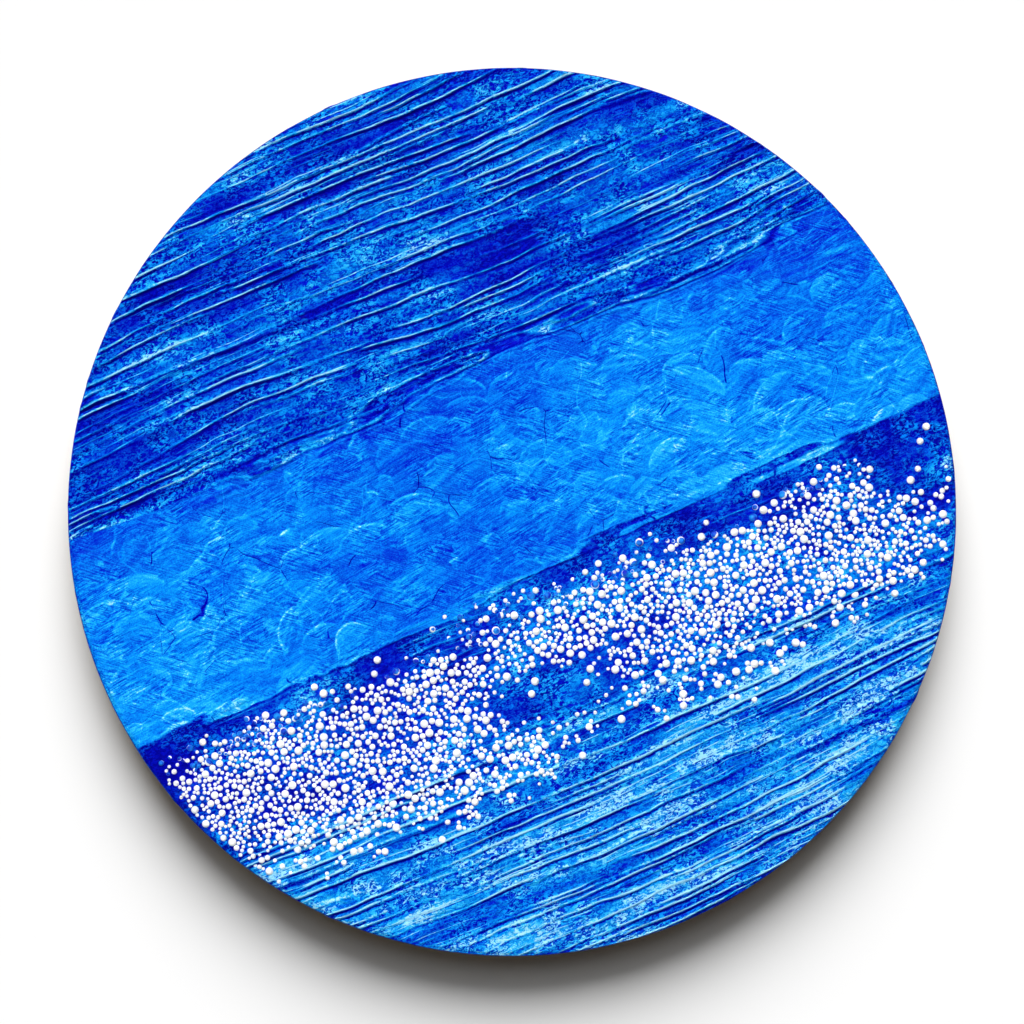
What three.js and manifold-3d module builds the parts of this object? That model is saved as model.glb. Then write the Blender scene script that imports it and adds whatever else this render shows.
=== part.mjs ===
// A round relief painting: a cradled wood panel with thick bands of paint paste and beads on its face.
// Millimetres. +Z is up, the face looks along -Y, and the wall it hangs on is the plane Y = 0.
import * as THREE from "three";
import { mergeVertices } from "three/addons/utils/BufferGeometryUtils.js";
import Module from "manifold-3d";

const wasm = await Module();
wasm.setup();

// Panel and the ring of its cradle
const PANEL_RADIUS = 300;
const PANEL_THICKNESS = 6;
const PANEL_ARRIS = 0.8;
const RIM_WIDTH = 24;
const RIM_DEPTH = 32;
const RIM_CHAMFER = 2;
const RIM_SEGMENTS = 6;
const ROUND_STEPS = 96;
const GLUE_LINE = 0.3;

// Dowels across each joint of the ring
const DOWEL_RADIUS = 4;
const DOWEL_LENGTH = 32;
const DOWEL_SPACING = 16;
const DOWEL_FIT = 0.3;
const DOWEL_END_ROOM = 1;
const DOWEL_ARRIS = 0.8;
const DOWEL_SIDES = 8;

// Braces behind the panel
const BRACE_WIDTH = 40;
const BRACE_DEPTH = 20;
const BRACE_CHAMFER = 2;
const BRACE_HOUSING = 8;

// Hangers on the upright braces
const HANGER_HEIGHT = 118;
const STRAP_WIDTH = 15;
const STRAP_END = 10.5;
const STRAP_GAUGE = 1;
const STRAP_CORNER = 5;
const EYE_FIT = 0.3;
const EYE_SIDES = 16;
const RING_WIRE_RADIUS = 1.5;
const RING_CORNER = 3;
const RING_SIDE_ROOM = 2;
const RING_STRAIGHT = 2.5;
const RING_REST_GAP = 0.3;
const RING_STEPS = 32;
const WIRE_SIDES = 8;
const SCREW_SHANK_RADIUS = 1.75;
const SCREW_HEAD_RADIUS = 3.5;
const SCREW_HEAD_HEIGHT = 2;
const SCREW_LENGTH = 12;
const SCREW_POINT = 3;
const SCREW_FIT = 0.3;
const SCREW_EYE_GAP = 0.8;
const SCREW_SPACING = 15;
const SCREW_SLOT = 0.9;
const SCREW_SIDES = 12;

// Rubber bumpers on the back of the rim
const BUMPER_COUNT = 4;
const BUMPER_RADIUS = 7;
const BUMPER_FLAT_RADIUS = 4.5;
const BUMPER_HEIGHT = 3;
const BUMPER_SIDES = 16;

// Bands of paint paste, straight across the face, measured from its centre along the tilted upright
const BAND_TILT = THREE.MathUtils.degToRad(24);
const PASTE_INSET = 0.5;
const BAND_SEAM = 0.4;
const UPPER_COMBED_START = 105;
const SMOOTH_WIDTH = 150;
const BEAD_BAND_WIDTH = 95;
const COMBED_BASE = 1.4;
const COMB_PITCH = 8;
const COMB_HEIGHT = 3;
const STROKE_LENGTH = 170;
const STROKE_LEAST = 0.4;
const COMBED_COLUMNS = 12;
const SMOOTH_THICKNESS = 2;
const SMOOTH_SWELL = 0.5;
const SMOOTH_SWELL_LENGTH = 64;
const SMOOTH_ROWS = 12;
const SMOOTH_COLUMNS = 20;
const BEAD_BED_THICKNESS = 1.6;
const BEAD_RADIUS = 2.8;
const BEAD_SIZE_SPREAD = 0.3;
const BEAD_GATHER = 0.3;
const BEAD_SUNK = 0.9;
const BEAD_COUNT = 120;
const BEAD_EDGE = 8;
const BEAD_SIDES = 6;

// Planes along Y, from the wall to the face
const wallY = 0;
const rimBackY = wallY - BUMPER_HEIGHT;
const panelBackY = rimBackY - RIM_DEPTH;
const panelFrontY = panelBackY - PANEL_THICKNESS;
const braceBackY = panelBackY + BRACE_DEPTH;

// Radii and angles that several pieces share
const rimInnerRadius = PANEL_RADIUS - RIM_WIDTH;
const rimMiddleRadius = PANEL_RADIUS - RIM_WIDTH / 2;
const housingRadius = rimInnerRadius + BRACE_HOUSING;
const segmentAngle = (2 * Math.PI) / RIM_SEGMENTS;
const uprightX = housingRadius * Math.sin(segmentAngle / 2);
const pasteRadius = PANEL_RADIUS - PASTE_INSET;
const smoothStart = UPPER_COMBED_START - SMOOTH_WIDTH;
const beadStart = smoothStart - BEAD_BAND_WIDTH;

// Hanger sizes that follow from the wire and the strap
const eyeBore = RING_WIRE_RADIUS + EYE_FIT;
const eyeRadius = eyeBore + STRAP_GAUGE;
const strapThickness = 2 * STRAP_GAUGE;
const ringHalfWidth = STRAP_WIDTH / 2 + RING_SIDE_ROOM + RING_CORNER;
const ringReach = RING_CORNER + RING_STRAIGHT + ringHalfWidth;
const ringLean = Math.asin((eyeRadius - RING_WIRE_RADIUS - RING_REST_GAP) / ringReach);
const upperScrewZ = -eyeRadius - SCREW_EYE_GAP - SCREW_HEAD_RADIUS;
const screwHeights = [upperScrewZ, upperScrewZ - SCREW_SPACING];
const strapBottomZ = upperScrewZ - SCREW_SPACING - STRAP_END;

// Irrational steps that spread strokes and beads without repeating: the golden share, and the
// plastic number, the real root of x^3 = x + 1.
const goldenShare = (Math.sqrt(5) - 1) / 2;
const plasticNumber = Math.cbrt(0.5 + Math.sqrt(23 / 108)) + Math.cbrt(0.5 - Math.sqrt(23 / 108));
const cutMargin = 1;

const materials = {
  ply: new THREE.MeshStandardMaterial({ color: 0xc9a878, roughness: 0.7 }),
  pine: new THREE.MeshStandardMaterial({ color: 0xd6b483, roughness: 0.65 }),
  beech: new THREE.MeshStandardMaterial({ color: 0xc59a6b, roughness: 0.6 }),
  steel: new THREE.MeshStandardMaterial({ color: 0xb9bcc0, roughness: 0.35, metalness: 1 }),
  rubber: new THREE.MeshStandardMaterial({ color: 0x2a2a2c, roughness: 0.9 }),
  cobalt: new THREE.MeshStandardMaterial({ color: 0x0f5fd0, roughness: 0.4 }),
  azure: new THREE.MeshStandardMaterial({ color: 0x1f95ef, roughness: 0.35 }),
  beads: new THREE.MeshStandardMaterial({ color: 0xdfe9f5, roughness: 0.25 }),
};

// A closed geometry as a solid for joining and cutting.
function solid(geometry) {
  const bare = geometry.clone();
  bare.deleteAttribute("normal");
  bare.deleteAttribute("uv");
  const merged = mergeVertices(bare);
  return new wasm.Manifold(
    new wasm.Mesh({
      numProp: 3,
      vertProperties: merged.attributes.position.array,
      triVerts: new Uint32Array(merged.index.array),
    }),
  );
}

// A solid back as a geometry.
function geometryOf(body) {
  const mesh = body.getMesh();
  const geometry = new THREE.BufferGeometry();
  geometry.setAttribute("position", new THREE.BufferAttribute(mesh.vertProperties, 3));
  geometry.setIndex(new THREE.BufferAttribute(mesh.triVerts, 1));
  geometry.computeVertexNormals();
  return geometry;
}

function named(name, geometry, material) {
  const mesh = new THREE.Mesh(geometry, material);
  mesh.name = name;
  return mesh;
}

// An outline drawn in X and Z, extruded along Y from yBack - depth to yBack.
function slab(shape, depth, yBack) {
  const geometry = new THREE.ExtrudeGeometry(shape, { depth, bevelEnabled: false });
  return geometry.rotateX(Math.PI / 2).translate(0, yBack, 0);
}

// A body of revolution about Y, from points of radius and height.
function turned(points, steps) {
  const profile = points.map(([radius, height]) => new THREE.Vector2(radius, height));
  return new THREE.LatheGeometry(profile, steps, Math.PI / steps);
}

// A round bar along Y between two heights.
function barAlongY(radius, from, to, sides) {
  return new THREE.CylinderGeometry(radius, radius, to - from, sides).translate(0, (from + to) / 2, 0);
}

// The panel: a disc with both arrises taken off.
function panelGeometry() {
  return turned(
    [
      [0, panelFrontY],
      [PANEL_RADIUS - PANEL_ARRIS, panelFrontY],
      [PANEL_RADIUS, panelFrontY + PANEL_ARRIS],
      [PANEL_RADIUS, panelBackY - PANEL_ARRIS],
      [PANEL_RADIUS - PANEL_ARRIS, panelBackY],
      [0, panelBackY],
    ],
    ROUND_STEPS,
  );
}

// The whole ring of the cradle before it is cut into segments, with its back edges chamfered.
function ringGeometry() {
  return turned(
    [
      [rimInnerRadius, panelBackY],
      [PANEL_RADIUS, panelBackY],
      [PANEL_RADIUS, rimBackY - RIM_CHAMFER],
      [PANEL_RADIUS - RIM_CHAMFER, rimBackY],
      [rimInnerRadius + RIM_CHAMFER, rimBackY],
      [rimInnerRadius, rimBackY - RIM_CHAMFER],
      [rimInnerRadius, panelBackY],
    ],
    ROUND_STEPS,
  );
}

// The sector that one segment fills, pointing up, half a glue line short of each joint.
function sectorGeometry() {
  const half = segmentAngle / 2;
  const tip = GLUE_LINE / 2 / Math.sin(half);
  const far = 2 * PANEL_RADIUS;
  const shape = new THREE.Shape();
  shape.moveTo(0, tip);
  shape.lineTo(far * Math.sin(half), tip + far * Math.cos(half));
  shape.lineTo(-far * Math.sin(half), tip + far * Math.cos(half));
  return slab(shape, RIM_DEPTH + 2 * cutMargin, rimBackY + cutMargin);
}

// The dowels' heights along Y, centred in the rim's depth.
function dowelHeights() {
  const middle = (rimBackY + panelBackY) / 2;
  return [middle - DOWEL_SPACING / 2, middle + DOWEL_SPACING / 2];
}

// The blind holes for the dowels of the joint at the top of the ring.
function dowelHoles(angle) {
  const half = DOWEL_LENGTH / 2 + DOWEL_END_ROOM;
  const holes = dowelHeights().map((y) =>
    solid(
      barAlongY(DOWEL_RADIUS + DOWEL_FIT, -half, half, DOWEL_SIDES)
        .rotateZ(Math.PI / 2)
        .translate(0, y, rimMiddleRadius)
        .rotateY(angle),
    ),
  );
  return holes[0].add(holes[1]);
}

// A dowel with chamfered ends, along Y about its middle.
function dowelGeometry() {
  const half = DOWEL_LENGTH / 2;
  const points = [
    [0, -half],
    [DOWEL_RADIUS - DOWEL_ARRIS, -half],
    [DOWEL_RADIUS, -half + DOWEL_ARRIS],
    [DOWEL_RADIUS, half - DOWEL_ARRIS],
    [DOWEL_RADIUS - DOWEL_ARRIS, half],
    [0, half],
  ];
  const profile = points.map(([radius, height]) => new THREE.Vector2(radius, height));
  return new THREE.LatheGeometry(profile, DOWEL_SIDES);
}

// A brace as a bar along Z behind the panel, with the arrises of its back chamfered.
function braceBar(width, depth, front, chamfer) {
  const half = width / 2;
  const section = new THREE.Shape();
  section.moveTo(-half, front);
  section.lineTo(half, front);
  section.lineTo(half, front + depth - chamfer);
  section.lineTo(half - chamfer, front + depth);
  section.lineTo(-half + chamfer, front + depth);
  section.lineTo(-half, front + depth - chamfer);
  const length = 2 * PANEL_RADIUS;
  const bar = new THREE.ExtrudeGeometry(section, { depth: length, bevelEnabled: false });
  return bar.translate(0, 0, -length / 2);
}

// The three braces' bars, placed: upright left, upright right and the cross brace.
function placedBars(makeBar) {
  return [
    solid(makeBar().translate(-uprightX, 0, 0)),
    solid(makeBar().translate(uprightX, 0, 0)),
    solid(makeBar().rotateY(Math.PI / 2)),
  ];
}

function roundCut(radius) {
  return solid(barAlongY(radius, panelBackY - 2 * cutMargin, rimBackY + cutMargin, ROUND_STEPS));
}

// The housings that the braces' ends need in the rim.
function housings() {
  const bars = placedBars(() =>
    braceBar(
      BRACE_WIDTH + 2 * GLUE_LINE,
      BRACE_DEPTH + GLUE_LINE + cutMargin,
      panelBackY - cutMargin,
      BRACE_CHAMFER,
    ),
  );
  return bars[0].add(bars[1]).add(bars[2]).intersect(roundCut(housingRadius + GLUE_LINE));
}

function addRim(group) {
  const ring = solid(ringGeometry()).subtract(housings());
  for (let i = 0; i < RIM_SEGMENTS; i += 1) {
    const start = i * segmentAngle;
    const sector = solid(sectorGeometry().rotateY(start + segmentAngle / 2));
    const segment = ring
      .intersect(sector)
      .subtract(dowelHoles(start))
      .subtract(dowelHoles(start + segmentAngle));
    group.add(named(`rim_segment_${i + 1}`, geometryOf(segment), materials.pine));
    const joint = new THREE.Group();
    joint.rotation.y = start;
    dowelHeights().forEach((y, side) => {
      const dowel = named(`rim_dowel_${2 * i + side + 1}`, dowelGeometry(), materials.beech);
      dowel.position.set(0, y, rimMiddleRadius);
      dowel.rotation.z = Math.PI / 2;
      joint.add(dowel);
    });
    group.add(joint);
  }
}

// A square cutter for a half lap where an upright crosses the cross brace.
function lapCut(x, from, to) {
  const side = BRACE_WIDTH + 2 * GLUE_LINE;
  return solid(new THREE.BoxGeometry(side, to - from, side).translate(x, (from + to) / 2, 0));
}

// The pilot holes of one hanger's screws, in an upright at x.
function pilotHoles(x) {
  const holes = screwHeights.map((height) =>
    solid(
      barAlongY(
        SCREW_SHANK_RADIUS + SCREW_FIT,
        braceBackY + strapThickness - SCREW_LENGTH - SCREW_FIT,
        braceBackY + cutMargin,
        SCREW_SIDES,
      ).translate(x, 0, HANGER_HEIGHT + height),
    ),
  );
  return holes[0].add(holes[1]);
}

function addBraces(group) {
  const lapY = panelBackY + BRACE_DEPTH / 2;
  const ends = roundCut(housingRadius);
  const bars = placedBars(() => braceBar(BRACE_WIDTH, BRACE_DEPTH, panelBackY, BRACE_CHAMFER));
  const [left, right, cross] = bars.map((bar) => bar.intersect(ends));
  const uprights = [
    ["brace_left", left, -uprightX],
    ["brace_right", right, uprightX],
  ];
  for (const [name, bar, x] of uprights) {
    const upright = bar.subtract(lapCut(x, panelBackY - cutMargin, lapY)).subtract(pilotHoles(x));
    group.add(named(name, geometryOf(upright), materials.pine));
  }
  const rail = cross
    .subtract(lapCut(-uprightX, lapY, braceBackY + cutMargin))
    .subtract(lapCut(uprightX, lapY, braceBackY + cutMargin));
  group.add(named("brace_cross", geometryOf(rail), materials.pine));
}

// A hanger's parts are drawn about the ring's bar, with Y = 0 on the brace and Z up.
// The strap: a doubled steel strip with rounded lower corners, closed round the bar in an eye.
function strapGeometry() {
  const half = STRAP_WIDTH / 2;
  const plan = new THREE.Shape();
  plan.moveTo(half, 0);
  plan.lineTo(-half, 0);
  const cornerZ = strapBottomZ + STRAP_CORNER;
  plan.lineTo(-half, cornerZ);
  plan.absarc(-half + STRAP_CORNER, cornerZ, STRAP_CORNER, Math.PI, 1.5 * Math.PI);
  plan.absarc(half - STRAP_CORNER, cornerZ, STRAP_CORNER, 1.5 * Math.PI, 2 * Math.PI);
  const plate = new THREE.ExtrudeGeometry(plan, {
    depth: strapThickness,
    bevelEnabled: false,
    curveSegments: 5,
  });
  plate.rotateX(Math.PI / 2).translate(0, strapThickness, 0);
  const eyeBar = (radius, overhang) =>
    solid(
      barAlongY(radius, -half - overhang, half + overhang, EYE_SIDES)
        .rotateZ(Math.PI / 2)
        .translate(0, eyeRadius, 0),
    );
  const screwHoles = screwHeights.map((height) =>
    solid(
      barAlongY(
        SCREW_SHANK_RADIUS + SCREW_FIT,
        -cutMargin,
        strapThickness + cutMargin,
        SCREW_SIDES,
      ).translate(0, 0, height),
    ),
  );
  return geometryOf(
    solid(plate)
      .add(eyeBar(eyeRadius, 0))
      .subtract(eyeBar(eyeBore, cutMargin))
      .subtract(screwHoles[0])
      .subtract(screwHoles[1]),
  );
}

// The D-ring: round wire bent into a straight bar, two corners, two short sides and a half-round bow.
function ringWireGeometry() {
  const flat = ringHalfWidth - RING_CORNER;
  const path = new THREE.Path();
  path.moveTo(-flat, 0);
  path.lineTo(flat, 0);
  path.absarc(flat, RING_CORNER, RING_CORNER, -Math.PI / 2, 0);
  path.absarc(0, ringReach - ringHalfWidth, ringHalfWidth, 0, Math.PI);
  path.absarc(-flat, RING_CORNER, RING_CORNER, Math.PI, 1.5 * Math.PI);
  const points = path.getSpacedPoints(RING_STEPS).slice(0, RING_STEPS);
  const loop = new THREE.CatmullRomCurve3(
    points.map((point) => new THREE.Vector3(point.x, 0, point.y)),
    true,
  );
  return new THREE.TubeGeometry(loop, RING_STEPS, RING_WIRE_RADIUS, WIRE_SIDES, true);
}

// A pan-head screw along Y, its head's underside at Y = 0, with a cross recess.
function screwGeometry() {
  const crown = 0.6 * SCREW_HEAD_HEIGHT;
  const body = solid(
    turned(
      [
        [0, -SCREW_LENGTH],
        [SCREW_SHANK_RADIUS, SCREW_POINT - SCREW_LENGTH],
        [SCREW_SHANK_RADIUS, 0],
        [SCREW_HEAD_RADIUS, 0],
        [SCREW_HEAD_RADIUS, SCREW_HEAD_HEIGHT - crown],
        [0.7 * SCREW_HEAD_RADIUS, SCREW_HEAD_HEIGHT],
        [0, SCREW_HEAD_HEIGHT],
      ],
      SCREW_SIDES,
    ),
  );
  const slot = (long, wide) =>
    solid(new THREE.BoxGeometry(long, 2 * crown, wide).translate(0, SCREW_HEAD_HEIGHT, 0));
  const arms = slot(SCREW_HEAD_RADIUS, SCREW_SLOT).add(slot(SCREW_SLOT, SCREW_HEAD_RADIUS));
  return geometryOf(body.subtract(arms));
}

function addHanger(group, side, x) {
  const hanger = new THREE.Group();
  hanger.position.set(x, braceBackY, HANGER_HEIGHT);
  hanger.add(named(`hanger_strap_${side}`, strapGeometry(), materials.steel));
  const ring = named(`hanger_ring_${side}`, ringWireGeometry(), materials.steel);
  ring.position.y = eyeRadius;
  ring.rotation.x = ringLean;
  hanger.add(ring);
  ["upper", "lower"].forEach((place, i) => {
    const screw = named(`hanger_screw_${side}_${place}`, screwGeometry(), materials.steel);
    screw.position.set(0, strapThickness, screwHeights[i]);
    hanger.add(screw);
  });
  group.add(hanger);
}

// A bumper: a rubber button with a rounded shoulder and a flat that meets the wall.
function bumperGeometry() {
  const shoulder = BUMPER_RADIUS - BUMPER_FLAT_RADIUS;
  const rise = BUMPER_HEIGHT / 2;
  const points = [
    [0, 0],
    [BUMPER_RADIUS, 0],
    [BUMPER_RADIUS, BUMPER_HEIGHT - rise],
    [BUMPER_FLAT_RADIUS + shoulder * Math.SQRT1_2, BUMPER_HEIGHT - rise * (1 - Math.SQRT1_2)],
    [BUMPER_FLAT_RADIUS, BUMPER_HEIGHT],
    [0, BUMPER_HEIGHT],
  ];
  return turned(points, BUMPER_SIDES);
}

function addBumpers(group) {
  for (let i = 0; i < BUMPER_COUNT; i += 1) {
    const angle = ((i + 0.5) * 2 * Math.PI) / BUMPER_COUNT;
    const bumper = named(`wall_bumper_${i + 1}`, bumperGeometry(), materials.rubber);
    bumper.position.set(rimMiddleRadius * Math.sin(angle), rimBackY, rimMiddleRadius * Math.cos(angle));
    group.add(bumper);
  }
}

// A band of paste between the circle's two sides. Rows are distances across the band, and thicknessAt
// gives its front from the place along and across. It lies on Y = 0 and rises along -Y.
function reliefBand(rows, columns, thicknessAt) {
  const reach = (row) => Math.sqrt(Math.max(0, pasteRadius ** 2 - rows[row] ** 2));
  const along = (column, row) => reach(row) * ((2 * column) / columns - 1);
  const back = (column, row) => new THREE.Vector3(along(column, row), 0, rows[row]);
  const front = (column, row) => {
    const u = along(column, row);
    return new THREE.Vector3(u, -thicknessAt(u, rows[row]), rows[row]);
  };
  const corners = [];
  const triangle = (a, b, c) => {
    const collapsed = a.equals(b) || b.equals(c) || c.equals(a);
    if (!collapsed) corners.push(a, b, c);
  };
  const quad = (a, b, c, d) => {
    triangle(a, b, c);
    triangle(a, c, d);
  };
  const last = rows.length - 1;
  for (let row = 0; row < last; row += 1) {
    for (let column = 0; column < columns; column += 1) {
      quad(
        front(column, row),
        front(column + 1, row),
        front(column + 1, row + 1),
        front(column, row + 1),
      );
    }
    quad(back(0, row), back(0, row + 1), back(columns, row + 1), back(columns, row));
    quad(back(0, row), front(0, row), front(0, row + 1), back(0, row + 1));
    quad(back(columns, row), back(columns, row + 1), front(columns, row + 1), front(columns, row));
  }
  triangle(back(0, 0), back(columns, 0), front(columns, 0));
  triangle(back(0, last), front(columns, last), back(columns, last));
  for (let column = 0; column < columns; column += 1) {
    triangle(back(0, 0), front(column + 1, 0), front(column, 0));
    triangle(back(0, last), front(column, last), front(column + 1, last));
  }
  return new THREE.BufferGeometry().setFromPoints(corners);
}

// Combed paste from a straight start to the top of the disc: a valley, a crest and a shoulder to each ridge.
function combedGeometry(start) {
  const crest = 0.42;
  const shoulder = 0.72;
  const rows = [];
  const lastWhole = Math.floor((pasteRadius - start) / COMB_PITCH);
  for (let ridge = 0; ridge < lastWhole; ridge += 1) {
    [0, crest, shoulder].forEach((share) => rows.push(start + (ridge + share) * COMB_PITCH));
  }
  rows.push(start + lastWhole * COMB_PITCH, pasteRadius);
  const thicknessAt = (u, v) => {
    const place = (v - start) / COMB_PITCH;
    const ridge = Math.floor(place + 1e-6);
    const rise = v < pasteRadius ? Math.sin(Math.PI * Math.max(0, place - ridge) ** 0.8) : 0;
    const stroke = Math.sin(Math.PI * (u / STROKE_LENGTH + ridge * goldenShare)) ** 2;
    return COMBED_BASE + COMB_HEIGHT * rise * (STROKE_LEAST + (1 - STROKE_LEAST) * stroke);
  };
  return reliefBand(rows, COMBED_COLUMNS, thicknessAt);
}

function evenRows(from, to, count) {
  return Array.from({ length: count + 1 }, (_, i) => from + ((to - from) * i) / count);
}

// Smooth paste with the shallow swells that a trowel leaves.
function smoothGeometry(from, to) {
  const thicknessAt = (u, v) => {
    const stroke = Math.sin((2 * Math.PI * u) / SMOOTH_SWELL_LENGTH + v / COMB_PITCH);
    const lift = Math.cos((2 * Math.PI * v) / SMOOTH_SWELL_LENGTH);
    return SMOOTH_THICKNESS + SMOOTH_SWELL * stroke * lift;
  };
  return reliefBand(evenRows(from, to, SMOOTH_ROWS), SMOOTH_COLUMNS, thicknessAt);
}

// The half of a bead that stands out of its bed, with a stub below that roots it.
function domeGeometry(radius) {
  const shoulder = Math.PI / 4;
  return turned(
    [
      [0, -radius],
      [radius * Math.cos(shoulder), -radius * Math.sin(shoulder)],
      [radius, 0],
      [radius, BEAD_SUNK],
      [0, BEAD_SUNK],
    ],
    BEAD_SIDES,
  );
}

// A flat bed with round beads sunk in it, spread evenly along the band and closer to its middle line.
function beadBedGeometry(from, to) {
  let bed = solid(reliefBand(evenRows(from, to, SMOOTH_ROWS), 2, () => BEAD_BED_THICKNESS));
  const middle = (from + to) / 2;
  const half = (to - from) / 2 - BEAD_EDGE;
  for (let i = 1; i <= BEAD_COUNT; i += 1) {
    const along = 2 * ((i / plasticNumber) % 1) - 1;
    const across = 2 * ((i / plasticNumber ** 2) % 1) - 1;
    const v = middle + half * across * Math.abs(across) ** BEAD_GATHER;
    const u = along * (Math.sqrt(pasteRadius ** 2 - v ** 2) - BEAD_EDGE);
    const radius = BEAD_RADIUS * (1 - BEAD_SIZE_SPREAD * ((i * goldenShare) % 1));
    const bead = domeGeometry(radius).translate(u, -BEAD_BED_THICKNESS, v);
    bed = bed.add(solid(bead));
  }
  return geometryOf(bed);
}

function addPaint(group) {
  const seam = BAND_SEAM / 2;
  const face = new THREE.Group();
  face.position.y = panelFrontY;
  face.rotation.y = -BAND_TILT;
  const upper = combedGeometry(UPPER_COMBED_START + seam);
  face.add(named("combed_paste_upper", upper, materials.cobalt));
  const smooth = smoothGeometry(smoothStart + seam, UPPER_COMBED_START - seam);
  face.add(named("smooth_paste", smooth, materials.azure));
  const beads = beadBedGeometry(beadStart + seam, smoothStart - seam);
  face.add(named("bead_bed", beads, materials.beads));
  const lower = named("combed_paste_lower", combedGeometry(-beadStart + seam), materials.cobalt);
  lower.rotation.y = Math.PI;
  face.add(lower);
  group.add(face);
}

const painting = new THREE.Group();
painting.name = "round_relief_painting";
painting.add(named("face_panel", panelGeometry(), materials.ply));
addRim(painting);
addBraces(painting);
addHanger(painting, "left", -uprightX);
addHanger(painting, "right", uprightX);
addBumpers(painting);
addPaint(painting);

export default painting;
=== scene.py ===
"""Looks of a round relief wall panel: combed and trowelled blue paste and beads on a plywood disc."""
import math
import bmesh
import bpy
import numpy as np
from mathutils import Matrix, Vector


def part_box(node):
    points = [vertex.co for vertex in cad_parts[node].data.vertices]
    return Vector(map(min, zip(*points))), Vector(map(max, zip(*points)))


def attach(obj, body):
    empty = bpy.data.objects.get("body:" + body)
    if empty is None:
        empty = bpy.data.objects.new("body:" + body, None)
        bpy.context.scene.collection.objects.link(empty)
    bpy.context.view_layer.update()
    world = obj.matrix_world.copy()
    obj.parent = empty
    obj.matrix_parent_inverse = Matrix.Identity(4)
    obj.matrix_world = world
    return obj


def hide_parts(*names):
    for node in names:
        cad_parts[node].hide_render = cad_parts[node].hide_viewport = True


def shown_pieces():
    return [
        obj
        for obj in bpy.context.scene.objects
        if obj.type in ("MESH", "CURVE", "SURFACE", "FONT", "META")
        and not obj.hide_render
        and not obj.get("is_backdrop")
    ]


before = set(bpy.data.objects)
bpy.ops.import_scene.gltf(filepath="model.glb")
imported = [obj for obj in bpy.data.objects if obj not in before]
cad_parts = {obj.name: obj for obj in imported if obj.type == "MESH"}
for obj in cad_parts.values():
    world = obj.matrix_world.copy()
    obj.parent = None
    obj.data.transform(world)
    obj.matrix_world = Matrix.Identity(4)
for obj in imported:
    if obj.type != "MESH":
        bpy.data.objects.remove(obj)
bpy.context.view_layer.update()
SEED = 24
rng = np.random.default_rng(SEED)

# The disc and its bands, in metres, as the solids have them.
panel_points = [vertex.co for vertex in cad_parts["face_panel"].data.vertices]
PANEL_RADIUS = max(math.hypot(point.x, point.z) for point in panel_points)
PANEL_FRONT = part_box("face_panel")[0].y
BAND_TILT = math.radians(24)
COMBED_START = 0.105
SMOOTH_WIDTH = 0.150
BEADS_WIDTH = 0.095
SMOOTH_START = COMBED_START - SMOOTH_WIDTH
BEADS_START = SMOOTH_START - BEADS_WIDTH
PASTE_INSET = 0.0005
PASTE_RADIUS = PANEL_RADIUS - PASTE_INSET

# The raster that the relief is worked out on, and the mesh cells that carry it.
RASTER_PITCH = 0.0004
RASTER_HALF = 0.304
RASTER_SIZE = int(2 * RASTER_HALF / RASTER_PITCH)
LAST_CELL = RASTER_SIZE - 1.001
MESH_CELL = 0.00075

# Heights of the paste in front of the panel, and what the marks in it add or take away.
COMBED_HEIGHT = 0.0019
COMBED_SWELL = 0.0004
CREST_RISE = 0.0014
THREAD_RISE = 0.0004
HEAVY_RISE = 0.0016
FURROW_DEPTH = 0.0009
GAP_DEPTH = 0.0011
CRUMB_RISE = 0.00012
SMOOTH_HEIGHT = 0.0020
BED_HEIGHT = 0.0017
BED_CREST_RISE = 0.0009
LIP_RISE = 0.0015
LEAST_HEIGHT = 0.0004

# How wide the marks are to each side, and how far below its crest a furrow lies.
CREST_WIDTH = 0.0011
THREAD_WIDTH = 0.0007
HEAVY_WIDTH = 0.0015
LIP_WIDTH = 0.0012
FURROW_DROP = 0.0018

# Strokes, by their features' lengths along and across the bands. A sway's first number is its reach.
STRANDS = (0.040, 0.0014)
THREADS = (0.020, 0.0008)
HEAVY_STROKES = (0.055, 0.0040)
SWAYS = ((0.004, 0.10, 0.04), (0.0009, 0.030, 0.010), (0.00035, 0.006, 0.004))
LINE_REACH = 0.004
LEAST_BEND = 0.05

# Pats of the trowel, by the ranges of their half sizes.
PAT_COUNT = 850
PAT_LENGTHS = (0.011, 0.022)
PAT_WIDTHS = (0.008, 0.014)
PAT_OVERRUN = 0.012

# How far the bands blend at their edges, and the paste's fall towards the disc's edge.
BAND_BLEND = 0.0012
BEADS_BLEND = 0.012
LOWER_TONE = 0.21
EDGE_FALL = 0.0028
EDGE_SHARE = 0.4


def colour(red, green, blue):
    """A screen colour, 0 to 255, as a node tree's linear colour."""
    parts = [channel / 255 for channel in (red, green, blue)]
    linear = [p / 12.92 if p <= 0.04045 else ((p + 0.055) / 1.055) ** 2.4 for p in parts]
    return (*linear, 1.0)


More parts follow.
